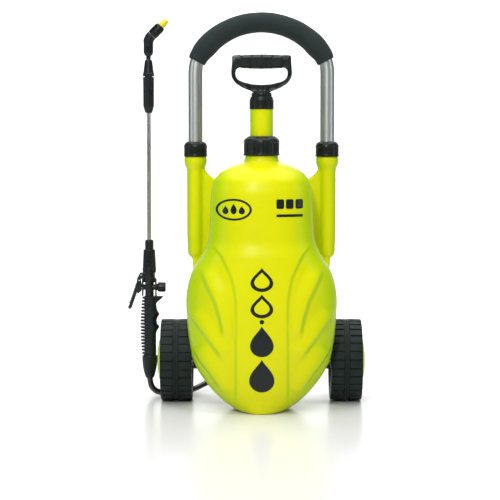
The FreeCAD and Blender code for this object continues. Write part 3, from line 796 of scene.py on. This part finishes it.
def build_clamp_nut(side, name):
    bore = TUBE_R + 0.3
    outline = [(21.3, 567.5), (27, 567.5), (27, 571), (26.4, 572), (26.4, 589), (27, 590), (26.6, 593),
               (24.6, 597.5), (21.5, 600.6), (18, 602), (bore, 602), (bore, 596), (21.3, 596)]
    turned(name, outline, (side * COLUMN_X, COLUMN_Y, 0), name.replace("_clamp", ""), "black_plastic", [name],
           bevel=0.8, **ribbed(30, 0.7, 0.7, 571.5, 590.5, 24))


build_foam()
build_clamp_nut(-1, "left_clamp_nut")
build_clamp_nut(1, "right_clamp_nut")


# ---- pump ----
def build_pump():
    nut = [(34.3, 571), (40, 571), (41, 572), (41, 575), (40.2, 576), (40.2, 600), (41, 601), (40.4, 605),
           (38, 609), (34, 612), (30, 615), (26.3, 615), (26.3, 602.3), (34.3, 602.3)]
    turned("neck_nut", nut, (0, 0, 0), "neck_nut", "black_plastic", ["neck_nut"], bevel=1.2,
           **ribbed(26, 1.1, 0.72, 575.5, 600.5, 36))
    cap = [(24.5, 675), (27, 675), (27.5, 675.6), (27.5, 678), (27.2, 678.4), (27.2, 694), (27.4, 695.5),
           (25.6, 699.5), (24.6, 703.6), (23.8, 704), (6.1, 704), (6.1, 698), (24.5, 698)]
    turned("pump_head_cap", cap, (0, 0, 0), "pump", "black_plastic", ["pump_head_cap"], bevel=0.5,
           **ribbed(42, 0.7, 0.6, 678.2, 700, 24))
    ferrule = [(6, 704.3), (22.2, 704.3), (23, 705), (23, 709), (21.5, 712.4), (20, 713), (6, 713)]
    turned("handle_ferrule", ferrule, (0, 0, 0), "plunger", "black_plastic", ["handle_ferrule"], bevel=0.6,
           **ribbed(32, 0.6, 0.7, 704.6, 711, 20))


BAR_Z = 781.6
BAR_PADS = 46.5
BAR_SLOTS = (-46, -23, 0, 23, 46)


def grip_bar():
    """The handle's bar: rows of pads above and below, a flat panel between them, blocks at the ends."""
    steps = 96
    stops = [-60 + 0.5 * k for k in range(241)]
    sections = []
    for x in stops:
        section = []
        for k in range(steps):
            a = 2 * math.pi * k / steps
            up = math.sin(a)
            across = math.cos(a)
            if abs(x) > BAR_PADS:
                y = 12.9 * math.copysign(abs(across) ** 0.4, across)
                z = 12.5 * math.copysign(abs(up) ** 0.4, up)
                section.append((x, y, BAR_Z + z))
                continue
            slant = 2.4 * up * (1 if across > 0 else -1)
            near = min(abs(x + slant - gap) for gap in BAR_SLOTS)
            pad = float(smoothstep(1.4, 2.1, near))
            r = 16.2 - 0.0008 * x * x
            if abs(up) > 0.5:
                r -= 5.5 * (1 - pad)
            y, z = r * across, r * up
            if abs(up) <= 0.5:
                y = math.copysign(min(abs(y), 11.4), across)
            section.append((x, y, BAR_Z + z))
        sections.append(section)
    return skin(sections)


def build_pump_handle():
    half = [(0, 713.2), (19, 713.2), (24, 716), (44, 724), (58, 733), (66, 744), (68.5, 755), (67.5, 768),
            (66.5, 778), (66.4, 795.5), (48, 796.5), (0, 796.5)]
    outer = half + [(-x, z) for x, z in half[-2:0:-1]]
    half = [(0, 729.5), (22, 731), (42, 736), (51, 740), (56, 745), (58.5, 752), (58.6, 759), (56.5, 765),
            (51, 768.5), (0, 768.5)]
    inner = half + [(-x, z) for x, z in half[-2:0:-1]]
    loop = cut(slab(outer, 0, 24, 5), slab(inner, 0, 40, 5))
    cut(loop, slab([(-47, 764), (47, 764), (47, 802), (-47, 802)], 0, 60))
    half = [(0, 716), (18, 716), (24, 719), (43, 727), (55.6, 735), (63, 745.3), (65.4, 755), (64.4, 768)]
    low = half + [(61, 768.5), (61.4, 752), (58.4, 743), (53, 737.5), (43, 733.2), (22, 728.4), (0, 726.8)]
    for side in (-1, 1):
        for front in (-1, 1):
            recess = slab([(side * x, z) for x, z in low], front * 14.6, 9)
            cut(loop, recess)
    for x in (-33, -10, 0, 9.5, 31):
        rise = 0.0062 * x * x
        top = 728.6 + 0.0048 * x * x
        fused(loop, block((x - 0.9, -11.6, 715 + rise), (x + 0.9, 11.6, top)))
    fused(loop, block((-7, -7, 713.2), (7, 7, 724)))
    bevelled(loop, 0.5, 2)
    fused(loop, grip_bar())
    cut(loop, lathe([(0, 700), (6, 700), (6, ROD_TOP), (0, ROD_TOP)], (0, 0, 0), bevel=0))
    as_piece("pump_handle", loop, "plunger", "black_plastic", ["pump_handle"])


build_pump()
build_pump_handle()


# ---- wheels ----
LUGS = 30


def build_wheel(side, name):
    base = (side * WHEEL_X, AXLE_Y, AXLE_Z)
    axis = (side, 0, 0)
    half = [(66, 36), (92.6, 36), (94.0, 34.8), (94.5, 22), (94.7, 7), (92.4, 6.6), (92.4, 4.9),
            (94.9, 4.5), (95, 1.6), (92.6, 1.3)]
    outline = half + [(r, -h) for r, h in half[::-1]]
    marks = (0.0, 0.05, 0.45, 0.80, 0.85, 0.87, 0.97, 0.985)

    def lugs(angle, r, h):
        place = (angle * LUGS / (2 * math.pi)) % 1.0
        groove = 0.86 < place < 0.975
        if r < 90 or (abs(h) < 6.8):
            return r
        return r - 2.4 if groove else r - 0.9 * (1 - place / 0.86)

    turned(name + "_tyre", outline, base, name + "_wheel", "tyre", [name + "_tyre"], axis, 28.0, bevel=0.3,
           angles=[2 * math.pi * (k + m) / LUGS for k in range(LUGS) for m in marks], wave=lugs)
    rim = lathe([(10, -34), (20, -34), (20, -6), (58, -6), (58, -34), (66, -34), (66, 27), (58, 27),
                 (58, 6), (20, 6), (20, 24), (10, 24)], base, axis, bevel=1.0)
    for k in range(6):
        a = math.pi * k / 3
        way = Vector((0, math.cos(a), math.sin(a)))
        flat = Vector((0, -math.sin(a), math.cos(a))) * 2
        middle = Vector(base)
        rib = []
        for reach, depth in ((18, -31), (60, -22), (60, -4), (18, -4)):
            rib.append(middle + way * reach + Vector((side * depth, 0, 0)))
        fused(rim, skin([[p - flat for p in rib], [p + flat for p in rib]]))
    as_piece(name + "_rim", rim, name + "_wheel", "wheel_core", [name + "_rim"])
    cap = [(0, 46), (9, 45.9), (9.6, 45.1), (11, 45.0), (11.6, 45.7), (22, 45), (44, 41.5), (58, 36),
           (64.6, 31), (65.7, 29), (65.7, 27), (58, 27), (56, 33.4), (44, 38.9), (22, 42.4), (0, 43.4)]
    turned(name + "_hubcap", cap, base, name + "_wheel", "hubcap", [name + "_hubcap"], axis, bevel=0.4,
           steps=96)


build_wheel(-1, "left")
build_wheel(1, "right")


# ---- lance ----
NOZZLE_BEND_Z = 840.0
PIN_Z = 259.0
PIVOT = (-19.0, 288.0)
GRIP_LOW = 98.0
FIN_COUNT = 18
FIN_PITCH = 7.7


def at_lance(outline):
    return [(LANCE_X + x, z) for x, z in outline]


def lance_turned(name, outline, body, node, **more):
    turned(name, outline, (LANCE_X, LANCE_Y, 0), body, "lance_plastic", [node], **more)


def build_lance_grip():
    """An oval grip with two finger bumps on the right, a comb of fins on the left and a hook above."""
    levels = [(98, 15.5), (104, 16.2), (121, 15.2), (146, 15.4), (152, 16.4), (158, 19.2), (162, 22),
              (164.5, 23.4), (167, 22.2), (171, 19), (176, 17.2), (182, 17.4), (187, 19), (192, 21.8),
              (195.5, 23.8), (198, 22.6), (202, 19.6), (207, 17.6), (214, 16.6), (225, 16.6), (238, 17)]
    sections = []
    for z, right in levels:
        left = -12.5 if z > 100 else -14.5
        middle = (left + right) / 2
        half = (right - left) / 2
        section = []
        for k in range(40):
            a = 2 * math.pi * k / 40
            c, s = math.cos(a), math.sin(a)
            depth = 12.6 * math.copysign(abs(s) ** 0.8, s) * (1 - 0.12 * max(0.0, c) ** 4 * (right > 18))
            section.append((LANCE_X + middle + half * math.copysign(abs(c) ** 0.85, c), LANCE_Y + depth, z))
        sections.append(section)
    grip = skin(sections)
    for k in range(FIN_COUNT):
        z = GRIP_LOW + 5 + FIN_PITCH * k
        reach = 22.0 - 3.6 * ((k - 8) / 8) ** 2
        ring = []
        for m in range(40):
            a = 2 * math.pi * m / 40
            ring.append((LANCE_X - 5 + (reach - 5) * math.cos(a), LANCE_Y + 12.9 * math.sin(a)))
        fin = skin([[(LANCE_X - 5 + (x - LANCE_X + 5) * f, LANCE_Y + (y - LANCE_Y) * f, z + h)
                     for x, y in ring] for f, h in ((0.95, -2.2), (1.0, -1.5), (1.0, 1.5), (0.95, 2.2))])
        fused(grip, fin)
    hook = slab(at_lance([(8, 214), (15, 218), (19, 224), (26, 230), (32, 235.5), (32.5, 238), (28, 238),
                          (8, 238)]),
                LANCE_Y, 15, 2)
    fused(grip, bevelled(hook, 1.2))
    cut(grip, lathe([(0, 97), (9.5, 97), (9.5, 232), (0, 232)], (LANCE_X, LANCE_Y, 0), bevel=0),
        lathe([(0, 230), (3.2, 230), (3.2, 245), (0, 245)], (LANCE_X, LANCE_Y, 0), bevel=0))
    as_piece("lance_grip", grip, "lance", "lance_plastic", ["lance_grip"])
    nut = [(7.4, 44), (9.6, 44), (11.2, 48), (14, 58), (16.4, 70), (17.6, 82), (17.9, 90), (17.9, 96.4),
           (16.5, 97.9), (7.4, 97.9)]
    lance_turned("tail_nut", nut, "lance", "tail_nut", **ribbed(12, 0.7, 0.8, 56, 91, 12))


def build_valve():
    body = lathe([(0, 238), (10.2, 238), (10.2, 270), (13.5, 274), (13.5, 292.6), (15.6, 293.6),
                  (16, 294.4), (16, 298), (0, 298)], (LANCE_X, LANCE_Y, 0), bevel=1.0)
    cross = lathe([(0, -10), (6.5, -10), (6.5, 17), (0, 17)], (LANCE_X, LANCE_Y, PIN_Z), (1, 0, 0), bevel=1.0)
    fused(body, cross)
    for side in (-1, 1):
        x = side * 15.5
        bar = block((LANCE_X + x - 2.3, LANCE_Y - 4, 238), (LANCE_X + x + 1.5, LANCE_Y + 4, 278))
        fused(body, bevelled(bar, 0.6, 2))
        ear = slab(at_lance([(-23, 281), (-12, 279), (-8, 284), (-8, 293), (-23, 293)]),
                   LANCE_Y + side * 9.5, 3, 3)
        fused(body, bevelled(ear, 0.4, 2))
    bridge = block((LANCE_X - 15.5, LANCE_Y - 4, PIN_Z - 6.5), (LANCE_X + 15.5, LANCE_Y + 4, PIN_Z + 6.5))
    fused(body, bevelled(bridge, 1.0, 2))
    shoulder = slab(at_lance([(-17, 270), (17, 270), (17, 278), (13, 282), (-13, 282), (-17, 278)]),
                    LANCE_Y, 10, 1)
    fused(body, bevelled(shoulder, 0.8, 2))
    cut(body, lathe([(0, 237), (3.2, 237), (3.2, 299), (0, 299)], (LANCE_X, LANCE_Y, 0), bevel=0),
        lathe([(0, -20), (2.8, -20), (2.8, 20), (0, 20)], (LANCE_X, LANCE_Y, PIN_Z), (1, 0, 0), bevel=0),
        lathe([(0, -15), (2, -15), (2, 15), (0, 15)], (LANCE_X + PIVOT[0], LANCE_Y, PIVOT[1]), (0, 1, 0),
              bevel=0))
    as_piece("valve_body", body, "lance", "lance_plastic", ["valve_body"])
    cap = [(7, 17.3), (8, 17.3), (8, 19.4), (10.6, 20.6), (11.5, 22), (11.5, 36.6), (9.8, 38.5), (0, 38.5),
           (0, 35.2), (7, 35.2)]
    turned("valve_cap", cap, (LANCE_X, LANCE_Y, PIN_Z), "valve_cap", "lance_plastic", ["valve_cap"],
           (1, 0, 0), bevel=0.5, **ribbed(22, 0.9, 0.6, 21.5, 37.2, 9.5))


def build_trigger():
    outer = [(-19, 293.5), (-23.4, 291), (-28.6, 279), (-30.6, 268)]
    teeth = 9
    for k in range(teeth):
        t = (k + 0.5) / teeth
        x = -29.8 - 15.5 * t - 1.6 * t * t
        z = 267 - 49 * t
        outer += [(x - 1.8, z + 2.6), (x - 2.9, z + 0.9), (x - 0.2, z - 0.5)]
    outer += [(-49.4, 215), (-50.2, 211), (-48, 208), (-43.6, 208), (-41.4, 212), (-37, 224), (-29.5, 246),
              (-25, 262), (-22.6, 276), (-15, 281), (-14.2, 288), (-15, 292)]
    lever = slab(at_lance(outer), LANCE_Y, 14)
    cheek = [(-28, 283), (-21, 278), (-18, 262), (-19, 250), (-26, 244), (-33, 250), (-30, 268)]
    for side in (-1, 1):
        fused(lever, slab(at_lance(cheek), LANCE_Y + side * 6.2, 1.6, 1.5))
    bevelled(lever, 0.5, 2, 50)
    for x, z, r in ((-24.2, 275, 1.5), (*PIVOT, 2.06)):
        cut(lever, lathe([(0, -12), (r, -12), (r, 12), (0, 12)], (LANCE_X + x, LANCE_Y, z), (0, 1, 0),
                         bevel=0, steps=24))
    as_piece("trigger", lever, "trigger", "lance_plastic", ["trigger"])


def build_lance_fittings():
    sleeve = [(5, 298.3), (15.6, 298.3), (16.6, 299.2), (16.3, 304), (15.8, 305), (13.9, 346), (13, 348),
              (5, 348)]
    lance_turned("cone_sleeve", sleeve, "lance", "cone_sleeve", bevel=0.8,
                 **ribbed(12, 0.6, 0.82, 304.5, 344, 8))
    lance_turned("tube_collar", [(5, 348), (10.1, 348), (10.1, 366), (9, 370), (7.4, 371), (5, 371)], "lance",
                 "tube_collar", bevel=0.8)
    clamp = [(5, 668), (7.2, 668), (9, 671), (12.6, 684), (12.9, 738), (12.7, 745), (13.2, 746.5),
             (13.2, 750.9), (12.6, 751.5), (9, 751.5), (9, 760), (6.2, 764), (4.3, 764), (4.3, 749.2),
             (5, 749.2)]
    lance_turned("clamp_sleeve", clamp, "lance", "clamp_sleeve", bevel=0.6,
                 **ribbed(14, 0.6, 0.8, 684, 741, 9))
    nut = [(9.3, 753.3), (13.1, 753.3), (13.5, 753.9), (13.5, 759.8), (12.4, 760.8), (9, 787), (8, 790.9),
           (7, 791.5), (4.3, 791.5), (4.3, 769), (9.3, 769)]
    lance_turned("lance_clamp_nut", nut, "lance_nut", "lance_clamp_nut", bevel=0.6,
                 **ribbed(12, 0.8, 0.78, 761, 786, 8))


def build_nozzle():
    slope = Vector((math.sqrt(0.5), 0, math.sqrt(0.5)))
    bend = Vector((LANCE_X, LANCE_Y, NOZZLE_BEND_Z))
    line = [bend + Vector((0, 0, h - NOZZLE_BEND_Z)) for h in (792, 799.5, 800.5, 805, 810, 822, 831, 831.8)]
    radii = [5.4, 5.6, 7.0, 10.4, 11.2, 11.4, 11.4, 12.0]
    arc_r = 8 / math.tan(math.radians(22.5))
    centre = bend + Vector((arc_r, 0, -8))
    for k in range(1, 8):
        a = math.radians(45 * k / 8)
        line.append(centre + Vector((-arc_r * math.cos(a), 0, arc_r * math.sin(a))))
        radii.append(12.1)
    line += [bend + slope * h for h in (8, 10.4, 11.6, 12)]
    radii += [12.2, 12.2, 11.6, 10.8]
    elbow = swept(line, radii)
    cut(elbow, lathe([(0, 790), (4, 790), (4, 812), (0, 812)], (LANCE_X, LANCE_Y, 0), bevel=0))
    as_piece("lance_elbow", elbow, "lance_end", "lance_plastic", ["lance_elbow"])
    nut = [(3.5, 12.2), (11.6, 12.2), (12.5, 13), (12.5, 37), (11.2, 40), (10.2, 42), (8.8, 42), (8.8, 26),
           (3.5, 26)]
    turned("nozzle_nut", nut, bend, "lance_end", "lance_plastic", ["nozzle_nut"], slope, bevel=0.5,
           **ribbed(26, 0.9, 0.6, 13.2, 37.5, 10))
    tip = [(2.6, 30), (8.2, 30), (8.2, 48), (7.4, 54), (6.4, 60), (5.2, 62), (1, 62), (1, 56), (2.6, 52)]
    turned("nozzle_tip", tip, bend, "nozzle", "nozzle", ["nozzle_tip"], slope, bevel=0.5)


build_lance_grip()
build_valve()
build_trigger()
build_lance_fittings()
build_nozzle()


# ---- light and floor ----
def build_stage():
    """A pale floor that curves up into a backdrop, lit by five soft panels."""
    near, far, bend, top, half = -7.0, 3.0, 1.5, 7.0, 9.0
    profile = [(near, 0.0)]
    profile += [(far + bend * math.sin(a), bend - bend * math.cos(a))
                for a in (math.pi / 2 * k / 24 for k in range(25))]
    profile.append((far + bend, top))
    points = [(x, y, z) for y, z in profile for x in (-half, half)]
    faces = [(2 * k, 2 * k + 1, 2 * k + 3, 2 * k + 2) for k in range(len(profile) - 1)]
    mesh = bpy.data.meshes.new("floor")
    mesh.from_pydata(points, [], faces)
    for face in mesh.polygons:
        face.use_smooth = True
    floor = bpy.data.objects.new("floor", mesh)
    bpy.context.scene.collection.objects.link(floor)
    mesh.materials.append(material("floor_paint", (0.88, 0.88, 0.88), 0.25, tint=(0.87, 0.87, 0.87), bump=0.0,
                                   rough_spread=0.01, specular=0.6))
    world = bpy.data.worlds.new("studio")
    bpy.context.scene.world = world
    world.use_nodes = True
    world.node_tree.nodes["Background"].inputs["Color"].default_value = (1, 1, 1, 1)
    world.node_tree.nodes["Background"].inputs["Strength"].default_value = 0.18
    bpy.context.scene.view_settings.view_transform = "Standard"

    def area(name, place, target, size_x, size_y, power):
        data = bpy.data.lights.new(name, "AREA")
        data.shape = "RECTANGLE"
        data.size = size_x
        data.size_y = size_y
        data.energy = power
        lamp = bpy.data.objects.new(name, data)
        lamp.location = place
        lamp.rotation_euler = (Vector(target) - Vector(place)).to_track_quat("-Z", "Y").to_euler()
        bpy.context.scene.collection.objects.link(lamp)

    area("key", (-0.5, -2.8, 2.2), (0, 0, 0.4), 0.35, 1.5, 50)
    area("left", (-2.4, -0.8, 1.2), (0, 0, 0.4), 0.5, 1.8, 7)
    area("right", (2.4, -0.8, 1.2), (0, 0, 0.4), 0.5, 1.8, 7)
    area("top", (0.0, 0.2, 3.0), (0, 0.2, 0.0), 3.4, 3.4, 100)
    area("wall", (0.0, 1.2, 2.6), (0, 4.4, 1.0), 3.0, 1.0, 130)


build_stage()
